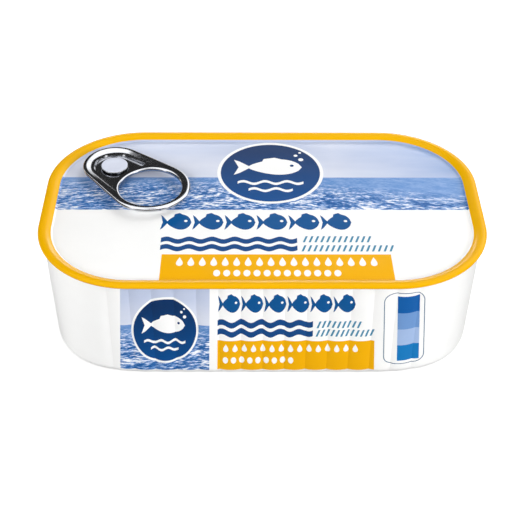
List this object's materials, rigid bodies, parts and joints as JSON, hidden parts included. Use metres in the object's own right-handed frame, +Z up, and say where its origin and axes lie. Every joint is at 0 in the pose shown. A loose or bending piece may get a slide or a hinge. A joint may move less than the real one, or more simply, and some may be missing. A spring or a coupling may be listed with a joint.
{
  "type": "sardine tin",
  "caption": "Low rounded-rectangular fish tin, shut, with fluted long walls, a raised yellow seam, a sea print in plain shapes and a bright ring-pull tab in the lid's corner.",
  "frame": {"origin": "centre of the footprint, on the surface the tin stands on", "axes": "+X along the tin's length, to the right as the picture shows it; +Y to the back, where the tab's nose lies; +Z up through the lid"},
  "size_m": [0.105, 0.0624, 0.0305],
  "materials": {
    "body_enamel": "gloss white litho enamel on drawn tinplate, with a sea print on the fluted long walls",
    "lid_enamel": "gloss yellow enamel on the seam, sea print and white on the panel",
    "tab_steel": "stamped and polished bright steel, dark in its hollows"
  },
  "bodies": {
    "root": {"can_body": "body_enamel", "lid": "lid_enamel", "ring_tab": "tab_steel"}
  },
  "joints": []
}
